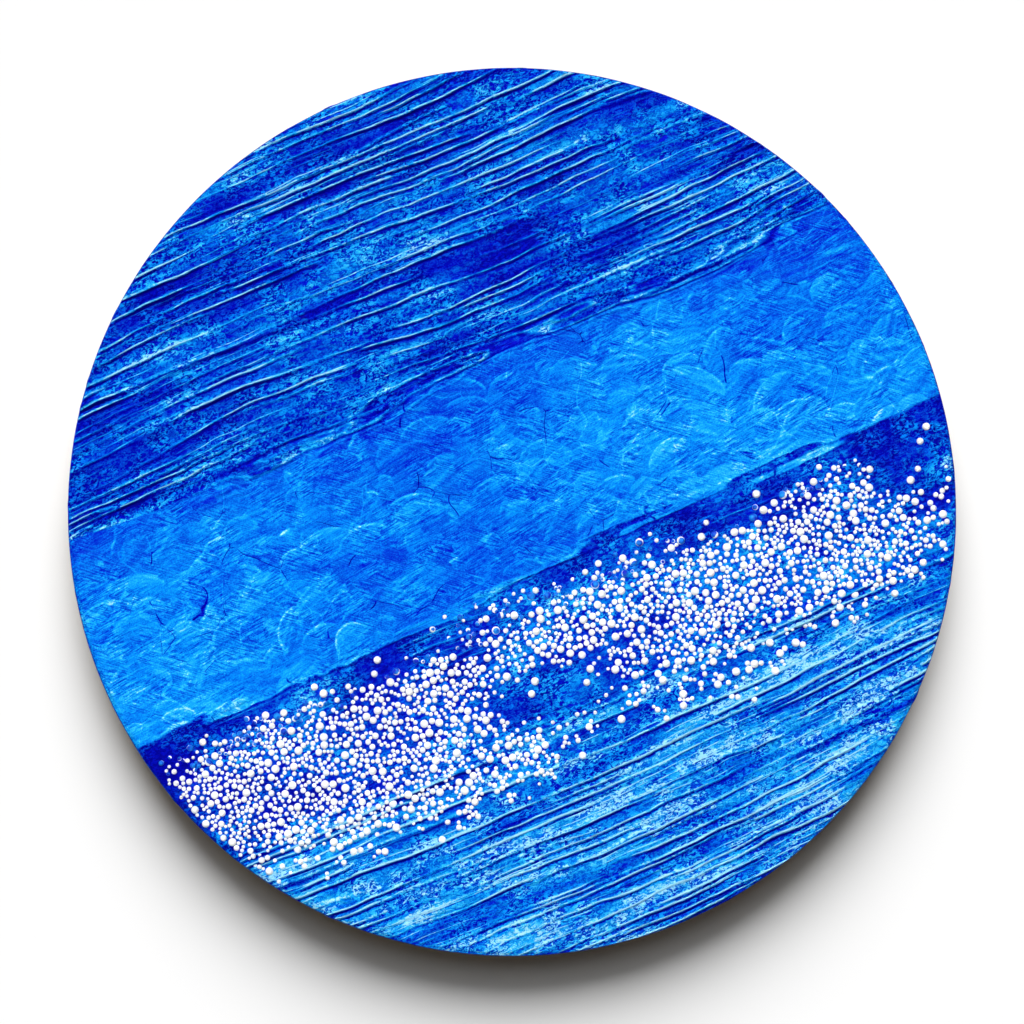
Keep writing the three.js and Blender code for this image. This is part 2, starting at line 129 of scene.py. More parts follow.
class Finish:
    """One material, with short calls for the nodes that the materials here are made of."""

    def __init__(self, name):
        self.material = bpy.data.materials.new(name)
        self.material.use_nodes = True
        self.tree = self.material.node_tree
        self.shader = self.tree.nodes["Principled BSDF"]

    def feed(self, socket, value):
        if isinstance(value, bpy.types.NodeSocket):
            self.tree.links.new(value, socket)
        else:
            socket.default_value = value

    def put(self, kind, inputs, **settings):
        node = self.tree.nodes.new(kind)
        for key, value in settings.items():
            setattr(node, key, value)
        for key, value in inputs.items():
            self.feed(node.inputs[key], value)
        return node

    def mapped(self, vector, **inputs):
        """Coordinates moved by a mapping node's Scale, Rotation and Location."""
        return self.put("ShaderNodeMapping", {"Vector": vector, **inputs}).outputs[0]

    def place(self, turn=(0, 0, 0), shift=(0, 0, 0)):
        """The piece's own coordinates, turned and shifted."""
        own = self.put("ShaderNodeTexCoord", {}).outputs["Object"]
        return self.mapped(own, Rotation=turn, Location=shift)

    def attribute(self, name):
        return self.put("ShaderNodeAttribute", {}, attribute_name=name).outputs["Fac"]

    def noise(self, vector, scale, detail=3.0, roughness=0.55, distortion=0.0):
        inputs = {"Vector": vector, "Scale": scale, "Detail": detail, "Roughness": roughness,
                  "Distortion": distortion}
        return self.put("ShaderNodeTexNoise", inputs).outputs["Fac"]

    def cells(self, vector, scale, feature="F1", output="Distance"):
        inputs = {"Vector": vector, "Scale": scale}
        return self.put("ShaderNodeTexVoronoi", inputs, feature=feature).outputs[output]

    def maths(self, operation, first, second=0.0, third=0.0, clamp=False):
        inputs = {0: first, 1: second, 2: third}
        return self.put("ShaderNodeMath", inputs, operation=operation, use_clamp=clamp).outputs[0]

    def times(self, first, *others):
        for other in others:
            first = self.maths("MULTIPLY", first, other)
        return first

    def added(self, level, part, weight, clamp=False):
        """The level with this much of a part added."""
        return self.maths("MULTIPLY_ADD", part, weight, level, clamp)

    def remap(self, value, low, high, new_low=0.0, new_high=1.0):
        inputs = {"Value": value, "From Min": low, "From Max": high, "To Min": new_low, "To Max": new_high}
        return self.put("ShaderNodeMapRange", inputs, interpolation_type="SMOOTHSTEP").outputs[0]

    def ramp(self, value, stops):
        """A colour from stops, each a position and a screen colour."""
        node = self.put("ShaderNodeValToRGB", {"Fac": value})
        elements = node.color_ramp.elements
        while len(elements) < len(stops):
            elements.new(1.0)
        for element, (position, shade) in zip(elements, stops):
            element.position = position
            element.color = colour(*shade)
        return node.outputs["Color"]

    def mix(self, factor, first, second, blend="MIX"):
        inputs = {0: factor, 6: first, 7: second}
        return self.put("ShaderNodeMix", inputs, data_type="RGBA", blend_type=blend).outputs[2]

    def bump(self, height, strength, distance):
        inputs = {"Height": height, "Strength": strength, "Distance": distance}
        return self.put("ShaderNodeBump", inputs).outputs[0]

    def surface(self, **inputs):
        """Sets the shader's sockets, named with _ for a space, and hands back the material."""
        for key, value in inputs.items():
            self.feed(self.shader.inputs[key.replace("_", " ")], value)
        return self.material


# The relief as rasters: u runs along the bands, rising to the right, and v across them.
axis = (np.arange(RASTER_SIZE) + 0.5) * RASTER_PITCH - RASTER_HALF
raster_u, raster_v = np.meshgrid(axis, axis)


def step(low, high, values):
    """0 below low, 1 above high, and a smooth rise between."""
    t = np.clip((values - low) / (high - low), 0, 1)
    return t * t * (3 - 2 * t)


def drift(along, across):
    """A seeded random field of unit spread, with features of about these lengths along and across."""
    spectrum = np.fft.rfft2(rng.standard_normal((RASTER_SIZE, RASTER_SIZE)))
    wave_v = np.fft.fftfreq(RASTER_SIZE, RASTER_PITCH)[:, None]
    wave_u = np.fft.rfftfreq(RASTER_SIZE, RASTER_PITCH)[None, :]
    spectrum *= np.exp(-2 * math.pi ** 2 * ((wave_v * across) ** 2 + (wave_u * along) ** 2))
    field = np.fft.irfft2(spectrum, (RASTER_SIZE, RASTER_SIZE))
    return field / field.std()


def sample(field, u, v):
    """A raster's values at points, in straight lines between its cells."""
    column = np.clip((u + RASTER_HALF) / RASTER_PITCH - 0.5, 0, LAST_CELL)
    row = np.clip((v + RASTER_HALF) / RASTER_PITCH - 0.5, 0, LAST_CELL)
    left = column.astype(int)
    low = row.astype(int)
    part_u = column - left
    part_v = row - low
    lower = field[low, left] * (1 - part_u) + field[low, left + 1] * part_u
    upper = field[low + 1, left] * (1 - part_u) + field[low + 1, left + 1] * part_u
    return lower * (1 - part_v) + upper * part_v


def strokes(along, across, sway):
    """Open lines that run along the bands: how far each raster point lies above the nearest one, and how
    far that line stands out there, 0 to 1."""
    field = sample(drift(along, across), raster_u, raster_v + sway)
    slope = across * np.gradient(field, RASTER_PITCH, axis=0)
    bend = across * np.gradient(slope, RASTER_PITCH, axis=0)
    distance = across * slope / np.minimum(bend, -LEAST_BEND)
    weight = step(LEAST_BEND, 0.60, -bend) * step(-0.6, 0.4, field)
    return np.clip(distance, -LINE_REACH, LINE_REACH), weight


def line(distance, width):
    """1 on the lines and 0 further from them than about this width."""
    return np.exp(-(distance / width) ** 2)


def combed():
    """Combed paste, as rasters by name: long crests with a furrow below each. Distances are in mm."""
    sway = sum(reach * drift(along, across) for reach, along, across in SWAYS)
    swayed_v = raster_v + sway
    broad = np.tanh(1.4 * sample(drift(0.050, 0.0045), raster_u, swayed_v))
    strand, strand_load = strokes(*STRANDS, sway)
    thread, thread_load = strokes(*THREADS, sway)
    heavy, heavy_load = strokes(*HEAVY_STROKES, sway)
    strand_load *= 0.32 + 0.68 * step(-0.9, 0.9, drift(0.030, 0.007))
    heavy_load *= step(-0.2, 0.9, drift(0.040, 0.010))
    thread_load *= step(-1.0, 0.9, drift(0.018, 0.004))
    crest_v = raster_v + FURROW_DROP
    groove = sample(strand, raster_u, crest_v)
    groove_load = sample(strand_load, raster_u, crest_v) * step(-1.8, 0.2, drift(0.020, 0.006))
    gap = step(2.2, 2.6, sample(drift(0.030, 0.0014), raster_u, swayed_v))
    height = COMBED_HEIGHT + COMBED_SWELL * broad
    height += CREST_RISE * line(strand, CREST_WIDTH) * strand_load
    height += THREAD_RISE * line(thread, THREAD_WIDTH) * thread_load
    height -= FURROW_DEPTH * line(groove, CREST_WIDTH) * groove_load
    height += CRUMB_RISE * drift(0.0012, 0.0009) - GAP_DEPTH * gap
    height += HEAVY_RISE * line(heavy, HEAVY_WIDTH) * heavy_load
    tone = 0.40 + 0.10 * broad + 0.10 * drift(0.014, 0.0022) - 0.25 * gap
    # Painted highlights above the heavy strokes' and strands' crests, painted shade below them and in the
    # furrows.
    heavy_painted_highlight = line(heavy - 0.0005, 0.0010) * heavy_load
    heavy_painted_shade = line(heavy + 0.0020, 0.0013) * heavy_load
    crest_painted_highlight = line(strand - 0.0010, 0.0016) * strand_load
    furrow_painted_shade = line(groove, 0.0019) * groove_load
    tone += 0.30 * heavy_painted_highlight - 0.32 * heavy_painted_shade + 0.20 * crest_painted_highlight - 0.32 * furrow_painted_shade
    return {"height": height, "tone": tone, "strand": 1000 * strand, "strand_load": strand_load,
            "thread": 1000 * thread, "thread_load": thread_load, "groove": 1000 * groove,
            "groove_load": groove_load}


def trowelled():
    """The smooth band, laid down in overlapping pats of a small trowel."""
    height = SMOOTH_HEIGHT + 0.0001 * drift(0.03, 0.02)
    tone = np.zeros_like(height)
    hairs = drift(0.010, 0.0006)
    for _ in range(PAT_COUNT):
        middle_u = rng.uniform(-RASTER_HALF, RASTER_HALF)
        middle_v = rng.uniform(SMOOTH_START - PAT_OVERRUN, COMBED_START + PAT_OVERRUN)
        half_u = rng.uniform(*PAT_LENGTHS)
        half_v = rng.uniform(*PAT_WIDTHS)
        turn = rng.normal(0, 0.35)
        level = rng.normal(SMOOTH_HEIGHT, 0.00008)
        tip_u = rng.normal(0, 0.00010)
        tip_v = rng.normal(0.00034, 0.00012)
        shade = rng.normal(0, 0.040)
        rim = max(0, rng.normal(0.06, 0.09))
        reach = max(half_u, half_v)
        columns = slice(*np.searchsorted(axis, (middle_u - reach, middle_u + reach)))
        rows = slice(*np.searchsorted(axis, (middle_v - reach, middle_v + reach)))
        offset_u = raster_u[rows, columns] - middle_u
        offset_v = raster_v[rows, columns] - middle_v
        pat_u = (offset_u * math.cos(turn) + offset_v * math.sin(turn)) / half_u
        pat_v = (offset_v * math.cos(turn) - offset_u * math.sin(turn)) / half_v
        reached = np.hypot(pat_u, pat_v)
        inside = (1 - step(0.93, 1.0, reached)) * step(-1.0, 0.1, pat_v)
        lines = sample(hairs, pat_u * half_u + middle_v, pat_v * half_v + middle_u)
        pat_height = level + tip_u * pat_u + tip_v * pat_v + 0.00003 * lines
        # Each pat is painted lighter towards its raised upper side as shading of its tilt, with a painted
        # highlight on its upper rim.
        pat_rim_highlight = rim * step(0.82, 0.95, reached) * step(0, 0.4, pat_v)
        pat_tone = shade + 0.045 * lines + 0.10 * pat_v + pat_rim_highlight
        height[rows, columns] += (pat_height - height[rows, columns]) * inside
        tone[rows, columns] += (pat_tone - tone[rows, columns]) * inside
    across = (raster_v - SMOOTH_START) / SMOOTH_WIDTH
    tone += 0.67 + 0.06 * drift(0.06, 0.025) - 0.18 * across
    return {"height": height, "tone": tone, "strand_load": 0, "thread_load": 0, "groove_load": 0}


def bedded(fields):
    """The mottled ground under the beads, with what is left of the comb's lines."""
    patches = drift(0.016, 0.009)
    crumbs = drift(0.0020, 0.0016)
    left = 0.7 * step(0.0, 1.4, drift(0.020, 0.008))
    lines = {key: left * fields[key] for key in ("strand_load", "thread_load", "groove_load")}
    crests = line(fields["strand"], 1.0) * lines["strand_load"]
    height = BED_HEIGHT + 0.00025 * patches + BED_CREST_RISE * crests + 0.0001 * crumbs
    tone = 0.40 + 0.12 * patches + 0.04 * crumbs - 0.14 * step(0.6, 1.8, drift(0.007, 0.005))
    return {"height": height, "tone": tone, **lines}


def edge_line(start, fray):
    """How far each raster point lies above a band's hand-made lower edge, frayed along the bands."""
    wander = 0.0030 * drift(0.06, 0.2) + fray * drift(0.018, 0.0022) + 0.0006 * drift(0.004, 0.0015)
    return raster_v - start - wander


def joined():
    """The rasters of the whole face, with the bands blended over their wandering edges."""
    above_combed = edge_line(COMBED_START, 0.0030)
    above_smooth = edge_line(SMOOTH_START, 0.0026)
    above_beads = edge_line(BEADS_START, 0.0020)
    is_upper = step(-BAND_BLEND, BAND_BLEND, above_combed)
    is_smooth = step(-BAND_BLEND, BAND_BLEND, above_smooth) * (1 - is_upper)
    is_lower = 1 - step(-BEADS_BLEND, BEADS_BLEND, above_beads)
    is_bead = np.clip(1 - is_upper - is_smooth - is_lower, 0, 1)
    whole = combed()
    whole["tone"] = whole["tone"] + LOWER_TONE * is_lower
    for share, part in ((is_smooth, trowelled()), (is_bead, bedded(whole))):
        for key, values in part.items():
            whole[key] = whole[key] + (values - whole[key]) * share
    worn = step(-1.4, 0.6, drift(0.03, 0.01))
    lips = ((above_combed, 0.0, 1.0), (above_combed, -0.0065, 0.4),
            (above_smooth, 0.0, 0.7), (above_combed, 0.0075, 0.8))
    # Each lip is raised, with a painted highlight just above it and a painted shadow just below it in the
    # tone.
    for above, offset, share in lips:
        from_lip = above - offset
        whole["height"] = whole["height"] + LIP_RISE * share * worn * line(from_lip, LIP_WIDTH)
        lit = 0.34 * line(from_lip - 0.0003, 0.0009) - 0.30 * line(from_lip + 0.0018, LIP_WIDTH)
        whole["tone"] = whole["tone"] + share * worn * lit
    whole["smoothness"] = is_smooth
    return whole


relief = joined()


def on_face(u, v, height):
    """Points at a height in front of the panel, from places in the bands' frame."""
    x = u * math.cos(BAND_TILT) - v * math.sin(BAND_TILT)
    z = u * math.sin(BAND_TILT) + v * math.cos(BAND_TILT)
    y = PANEL_FRONT - height + 0 * x
    return np.stack([x, y, z], axis=-1)


def add_piece(name, mesh, body, material, replaced):
    """A mesh as a piece that rides on a body, in place of the nodes that it replaces."""
    piece = bpy.data.objects.new(name, mesh)
    bpy.context.scene.collection.objects.link(piece)
    mesh.materials.append(material)
    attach(piece, body)
    if replaced:
        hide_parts(*replaced)
    return piece


def mesh_piece(name, points, faces, smooth, body, material, replaced=()):
    """A piece from points and lists of faces, shaded smooth where its flag says so."""
    mesh = bpy.data.meshes.new(name)
    sizes = np.concatenate([np.full(len(group), group.shape[1]) for group in faces])
    corners = np.concatenate([group.ravel() for group in faces])
    mesh.vertices.add(len(points))
    mesh.vertices.foreach_set("co", np.asarray(points, np.float32).ravel())
    mesh.loops.add(len(corners))
    mesh.loops.foreach_set("vertex_index", corners.astype(np.int32))
    mesh.polygons.add(len(sizes))
    starts = np.concatenate([[0], np.cumsum(sizes)[:-1]])
    mesh.polygons.foreach_set("loop_start", starts.astype(np.int32))
    flags = np.concatenate([np.full(len(group), flag) for group, flag in zip(faces, smooth)])
    mesh.polygons.foreach_set("use_smooth", flags)
    mesh.update(calc_edges=True)
    return add_piece(name, mesh, body, material, replaced)


def point_values(piece, name, values):
    """A value at each vertex, for the material to read."""
    layer = piece.data.attributes.new(name, "FLOAT", "POINT")
    layer.data.foreach_set("value", np.asarray(values, np.float32).ravel())


def with_ends(values):
    """A grid's values, with those of its first and last column again for the points behind them."""
    return np.concatenate([values.ravel(), values[:, [0, -1]].ravel()])


def paint_band(name, low, high, material):
    """One band of paste as a closed body: the relief in front, a flat back and plain ends."""
    nearly_one = 0.99999
    turn_low = math.asin(max(low / PASTE_RADIUS, -nearly_one))
    turn_high = math.asin(min(high / PASTE_RADIUS, nearly_one))
    row_count = int((turn_high - turn_low) * PASTE_RADIUS / MESH_CELL) + 2
    column_count = int(2 * PASTE_RADIUS / MESH_CELL)
    turns = np.linspace(turn_low, turn_high, row_count)[:, None]
    shares = np.linspace(-1, 1, column_count)[None, :]
    u = PASTE_RADIUS * np.cos(turns) * shares
    v = PASTE_RADIUS * np.sin(turns) + 0 * shares
    inward = PASTE_RADIUS - np.hypot(u, v)
    height = sample(relief["height"], u, v) * (EDGE_SHARE + (1 - EDGE_SHARE) * step(0, EDGE_FALL, inward))
    height = np.maximum(height, LEAST_HEIGHT)
    front = on_face(u, v, height).reshape(-1, 3)
    ends = on_face(u[:, [0, -1]], v[:, [0, -1]], 0.0).reshape(-1, 3)
    grid = np.arange(row_count * column_count).reshape(row_count, column_count)
    back = grid.size + np.arange(row_count * 2).reshape(row_count, 2)
    face = np.stack([grid[:-1, :-1], grid[:-1, 1:], grid[1:, 1:], grid[1:, :-1]], -1).reshape(-1, 4)
    flat = np.stack([back[:-1, 0], back[1:, 0], back[1:, 1], back[:-1, 1]], -1)
    left = np.stack([grid[:-1, 0], grid[1:, 0], back[1:, 0], back[:-1, 0]], -1)
    right = np.stack([grid[:-1, -1], back[:-1, 1], back[1:, 1], grid[1:, -1]], -1)
    foot = np.concatenate([grid[0, ::-1], back[0]])[None, :]
    head = np.concatenate([grid[-1], back[-1, ::-1]])[None, :]
    faces = [face, flat, left, right, foot, head]
    smooth = [group is face for group in faces]
    points = np.concatenate([front, ends])
    piece = mesh_piece("paint_" + name, points, faces, smooth, "panel", material, (name,))
    for key, field in relief.items():
        if key != "height":
            point_values(piece, key, with_ends(sample(field, u, v)))
    layer = piece.data.uv_layers.new(name="OFBake")
    corner = np.zeros(len(piece.data.loops), np.int32)
    piece.data.loops.foreach_get("vertex_index", corner)
    span = 2 * PASTE_RADIUS
    layout = np.stack([with_ends(u) / span + 0.5, (with_ends(v) - low) / span], -1)[corner]
    layer.data.foreach_set("uv", layout.astype(np.float32).ravel())


# Paint by its tone, 0 to 1, and the width of its lines to each side in mm.
PAINT_SHADES = ((0.00, (0, 2, 146)), (0.10, (0, 2, 170)), (0.26, (0, 13, 192)), (0.42, (0, 62, 204)),
                (0.56, (0, 104, 220)), (0.70, (3, 142, 236)), (0.82, (30, 172, 242)),
                (0.92, (58, 192, 248)), (1.00, (156, 222, 252)))
LINE_WIDTHS = {"strand": 1.25, "thread": 0.80, "groove": 1.45}
LINE_ROUGHNESS = 0.55

# Scales that draw the paint's noise out along the bands.
DAB_SCALE = (300, 520, 520)
HAIR_SCALE = (80, 1000, 1000)
GRAIN_SCALE = (60, 350, 350)


def brushed(finish, along, turn):
    """Fine parallel hairs, turned from the bands' direction."""
    stroke = finish.mapped(along, Rotation=(0, turn, 0))
    drawn = finish.mapped(stroke, Scale=HAIR_SCALE)
    return finish.remap(finish.noise(drawn, 1.0, 2, 0.6, 0.3), 0.36, 0.64, -0.5, 0.5)


def thin_line(finish, name, rough):
    """A rough line from a stored distance and how far the line stands out."""
    width = LINE_WIDTHS[name]
    load = finish.attribute(name + "_load")
    reach = finish.maths("MULTIPLY_ADD", load, 0.75 * width, 0.25 * width)
    away = finish.maths("ABSOLUTE", finish.attribute(name))
    distance = finish.added(away, rough, LINE_ROUGHNESS)
    return finish.times(finish.remap(distance, 0.0, reach, 1.0, 0.0), load)


def cracks(finish, along, smoothness):
    """The smooth band's pale seams, open cracks and pinholes."""
    wobble_inputs = {"Vector": along, "Scale": 28.0, "Detail": 1.5}
    wobble = finish.put("ShaderNodeTexNoise", wobble_inputs).outputs["Color"]
    warped = finish.mix(0.020, along, wobble, "ADD")
    seam = finish.cells(warped, 30, "DISTANCE_TO_EDGE")
    shown = finish.remap(finish.noise(along, 24, 2), 0.47, 0.56)
    open_part = finish.remap(finish.noise(along, 40, 2), 0.57, 0.63)
    pale_seam = finish.times(finish.remap(seam, 0.003, 0.014, 1.0, 0.0), shown, smoothness)
    crack = finish.times(finish.remap(seam, 0.003, 0.012, 1.0, 0.0), open_part, smoothness)
    hole = finish.remap(finish.cells(warped, 22), 0.014, 0.024, 1.0, 0.0)
    return pale_seam, crack, finish.times(hole, open_part, smoothness)


def paint_finish():
    """Acrylic paste from deep ultramarine to cyan-white, with painted shade in the furrows and painted
    highlights on the crests.
    """
    finish = Finish("relief_paint")
    along = finish.place(turn=(0, BAND_TILT, 0))
    smoothness = finish.attribute("smoothness")
    coarse = finish.maths("SUBTRACT", 1.0, smoothness)
    speckle = finish.noise(along, 950, 2, 0.6)
    dabbed = finish.noise(finish.mapped(along, Scale=DAB_SCALE), 1.0, 3, 0.68, 1.0)
    sponge = finish.remap(dabbed, 0.44, 0.56, -0.5, 0.5)
    patchy = finish.remap(finish.noise(along, 60, 2), 0.38, 0.62, 0.35, 1.0)
    crossed = finish.remap(finish.noise(along, 45, 1), 0.47, 0.53)
    one_way = brushed(finish, along, 0.1)
    other_way = brushed(finish, along, -0.7)
    hairs = finish.put("ShaderNodeMix", {0: crossed, 2: one_way, 3: other_way}).outputs[0]
    long_grain = finish.noise(finish.mapped(along, Scale=GRAIN_SCALE), 1.0, 2)
    broken = finish.remap(long_grain, 0.36, 0.60, 0.45, 1.15)
    crest = finish.times(thin_line(finish, "strand", sponge), broken)
    thread = finish.times(thin_line(finish, "thread", sponge), broken)
    furrow = thin_line(finish, "groove", sponge)
    pale_seam, crack, holes = cracks(finish, along, smoothness)
    mottle = finish.times(sponge, patchy, finish.remap(smoothness, 0, 1, 0.64, 0.16))
    brushed_on = finish.times(hairs, patchy, finish.remap(smoothness, 0, 1, 0.12, 0.30))
    grain = finish.times(finish.maths("SUBTRACT", speckle, 0.5), 0.45)
    level = finish.attribute("tone")
    for part in (mottle, brushed_on, grain):
        level = finish.maths("ADD", level, part)
    # Painted highlights on the crest and thread lines, painted shade on the furrow, crack and pinhole
    # lines; the pale seams are the paste's own colour.
    tones_and_painted_light = ((crest, 0.80), (thread, 0.60), (furrow, -0.76), (pale_seam, 0.13), (crack, -0.50))
    for part, weight in tones_and_painted_light:
        level = finish.added(level, part, weight)
    level = finish.added(level, holes, -1.0, clamp=True)
    shade = finish.ramp(level, PAINT_SHADES)
    fine = finish.maths("ADD", finish.times(sponge, coarse), finish.times(hairs, 0.5))
    rises = ((crest, 1.6), (thread, 0.9), (furrow, -1.0), (crack, -1.2), (holes, -3.0))
    for part, weight in rises:
        fine = finish.added(fine, part, weight)
    normal = finish.bump(fine, 0.8, 0.0005)
    gloss = finish.remap(speckle, 0.3, 0.7, 0.30, 0.48)
    return finish.surface(Base_Color=shade, Roughness=gloss, Specular_IOR_Level=0.02, Normal=normal)


paint = paint_finish()
paint_band("combed_paste_upper", COMBED_START, PASTE_RADIUS, paint)
paint_band("smooth_paste", SMOOTH_START, COMBED_START, paint)
paint_band("bead_bed", BEADS_START, SMOOTH_START, paint)
paint_band("combed_paste_lower", -PASTE_RADIUS, BEADS_START, paint)


# The large beads, which the solids have too, spread by numbers whose multiples never fall into step.
PLASTIC_NUMBER = 1.32471795724475
GOLDEN_PART = 0.618034
LARGE_COUNT = 120
LARGE_RADIUS = 0.0028
LARGE_SPREAD = 0.3
LARGE_GATHER = 0.3
LARGE_EDGE = 0.008
BEAD_MIDDLE = (SMOOTH_START + BEADS_START) / 2
BEAD_KEEP = 0.0082
BEAD_HALF = (SMOOTH_START - BEADS_START) / 2 - BEAD_KEEP

# The other beads. Each kind has its share so far and its range of radii.
BEAD_COUNT = 2500
BEAD_TRIES = 40 * BEAD_COUNT
BEAD_KINDS = ((0.56, 0.00115, 0.00160), (0.82, 0.0018, 0.0022), (1.00, 0.0024, 0.0028))
SMALL_LIMIT = 0.0017
MEDIUM_LIMIT = 0.00235
BEAD_MARGIN = 0.007
BEAD_SPILL = 0.055
BEAD_SPARE = 0.010
BEAD_TOUCHING = 0.12
TOUCH_ROOM = 1.01
RIM_KEEP = 0.004
CORE_DENSITY = 0.68
DENSITY_FALL = 0.64
CLUSTER_SHARE = 0.24

# How the beads are flattened, and how the brush reached those at the upper fringe.
BEAD_DEPTH = 0.85
FRINGE_START = 0.50
PAINTED_SHARE = 0.45
BRUSH_SCATTER = 0.45
BRUSH_LIMITS = (-0.5, 0.9)
UNBRUSHED = 1.3


def large_beads():
    """Places and radii of the beads that the solids have too."""
    order = np.arange(1, LARGE_COUNT + 1)
    along = 2 * ((order / PLASTIC_NUMBER) % 1) - 1
    across = 2 * ((order / PLASTIC_NUMBER ** 2) % 1) - 1
    v = BEAD_MIDDLE + BEAD_HALF * across * np.abs(across) ** LARGE_GATHER
    u = along * (np.sqrt(PASTE_RADIUS ** 2 - v ** 2) - LARGE_EDGE)
    radius = LARGE_RADIUS * (1 - LARGE_SPREAD * ((order * GOLDEN_PART) % 1))
    return np.stack([u, v, radius], -1)


def tried_bead(found):
    """A bead's place and radius at random, and whether it touches one that is there."""
    kind = rng.random()
    low, high = next(sizes for share, *sizes in BEAD_KINDS if kind < share)
    radius = rng.uniform(low, high)
    touching = rng.random() < BEAD_TOUCHING
    if touching:
        host = found[rng.integers(len(found))]
        around = rng.uniform(0, 2 * math.pi)
        gap = TOUCH_ROOM * (radius + host[2])
        u = host[0] + gap * math.cos(around)
        v = host[1] + gap * math.sin(around)
    else:
        u = rng.uniform(-1, 1) * PASTE_RADIUS
        v = BEAD_MIDDLE + rng.normal(-0.15, 0.7) * BEAD_HALF
    return u, v, radius, touching


def more_beads(placed):
    """Seeded beads of three sizes, close together in the band's core and thinning out below it."""
    clusters = drift(0.030, 0.016)
    found = [tuple(bead) for bead in placed]
    cell = 2 * LARGE_RADIUS + BEAD_SPARE
    near = {}
    for bead in found:
        near.setdefault((int(bead[0] // cell), int(bead[1] // cell)), []).append(bead)
    for _ in range(BEAD_TRIES):
        u, v, radius, touching = tried_bead(found)
        reach = BEAD_HALF + (BEAD_SPILL if v < BEAD_MIDDLE else BEAD_MARGIN)
        far = abs(v - BEAD_MIDDLE) / reach
        cluster = sample(clusters, np.array([u]), np.array([v]))[0]
        density = CORE_DENSITY - DENSITY_FALL * far + CLUSTER_SHARE * cluster
        if math.hypot(u, v) > PASTE_RADIUS - RIM_KEEP or far > 1 or rng.random() > density:
            continue
        spare = 0 if touching else BEAD_SPARE * max(0, 1 - density) * rng.random()
        home = (int(u // cell), int(v // cell))
        others = [bead for du in (-1, 0, 1) for dv in (-1, 0, 1)
                  for bead in near.get((home[0] + du, home[1] + dv), [])]
        if all(math.hypot(u - bead[0], v - bead[1]) > radius + bead[2] + spare for bead in others):
            near.setdefault(home, []).append((u, v, radius))
            found.append((u, v, radius))
        if len(found) >= BEAD_COUNT:
            break
    return np.array(found[len(placed):])


def ball(level):
    """Points and faces of a unit ball cut from an icosahedron."""
    made = bpy.data.meshes.new("ball")
    work = bmesh.new()
    bmesh.ops.create_icosphere(work, subdivisions=level, radius=1.0)
    work.to_mesh(made)
    work.free()
    points = np.array([vertex.co for vertex in made.vertices])
    faces = np.array([face.vertices for face in made.polygons])
    bpy.data.meshes.remove(made)
    return points, faces


def bead_piece(name, beads, level, material, painted=False):
    """Beads as one piece, each pressed a little into the paste, bare or with paint over one side."""
    points, faces = ball(level)
    ground = sample(relief["height"], beads[:, 0], beads[:, 1])
    middles = on_face(beads[:, 0], beads[:, 1], ground + (1 - BEAD_DEPTH) * beads[:, 2])
    flattened = points * (1, BEAD_DEPTH, 1)
    places = middles[:, None, :] + flattened[None, :, :] * beads[:, 2][:, None, None]
    corners = faces[None, :, :] + (np.arange(len(beads)) * len(points))[:, None, None]
    piece = mesh_piece(name, places.reshape(-1, 3), [corners.reshape(-1, 3)], [True], "panel",
                       material, ("bead_bed",))
    facing = rng.normal(0, BRUSH_SCATTER, (len(beads), 3)) + (0, -1, 0)
    facing /= np.linalg.norm(facing, axis=1)[:, None]
    bare = rng.uniform(*BRUSH_LIMITS, (len(beads), 1)) if painted else UNBRUSHED
    point_values(piece, "cover", facing @ points.T - bare)
    point_values(piece, "rise", np.broadcast_to(-points[None, :, 1], (len(beads), len(points))))
    point_values(piece, "chance", np.repeat(rng.random(len(beads)), len(points)))


def bead_finish():
    """White plastic, smeared with paint at its foot and painted over where the brush has reached."""
    finish = Finish("beads")
    own = finish.place()
    spot = finish.noise(own, 700, 2)
    body = finish.ramp(finish.attribute("chance"), ((0.0, (246, 248, 250)), (1.0, (254, 254, 253))))
    foot = finish.added(finish.attribute("rise"), spot, 0.5)
    smeared = finish.mix(finish.remap(foot, 0.0, 0.25, 0.6, 0.0), body, colour(70, 150, 235))
    reached = finish.added(finish.attribute("cover"), spot, 0.6)
    wash = finish.ramp(finish.noise(own, 260, 2), ((0.35, (0, 24, 190)), (0.65, (10, 140, 236))))
    shade = finish.mix(finish.remap(reached, 0.22, 0.38), smeared, wash)
    gloss = finish.remap(spot, 0.3, 0.7, 0.28, 0.42)
    return finish.surface(Base_Color=shade, Roughness=gloss, Specular_IOR_Level=0.2)


def scatter_beads():
    """All the beads: three sizes, and those with paint on them."""
    large = large_beads()
    others = more_beads(large)
    fringe = others[:, 1] - BEAD_MIDDLE > FRINGE_START * BEAD_HALF
    painted = fringe & (rng.random(len(others)) < PAINTED_SHARE)
    small = others[:, 2] < SMALL_LIMIT
    medium = ~small & (others[:, 2] < MEDIUM_LIMIT)
    plastic = bead_finish()
    bead_piece("beads_large", np.concatenate([large, others[~small & ~medium & ~painted]]), 3, plastic)
    bead_piece("beads_medium", others[medium & ~painted], 2, plastic)
    bead_piece("beads_small", others[small & ~painted], 2, plastic)
    bead_piece("beads_painted", others[painted], 3, plastic, True)


scatter_beads()


# The skin of paint on the disc's edge: its mesh, its thickness and the bare strip behind it.
EDGE_STEPS = 1400
EDGE_ROWS = 26
EDGE_PAINT = 0.00022
BARE_STRIP = 0.0075
EDGE_START = PANEL_FRONT + 0.0010
LIP_INSETS = (0.0011, 0.0002)
LIP_SETBACKS = (-0.0003, 0.0001)
BACK_INSETS = (0.0001, 0.0006, 0.0012)


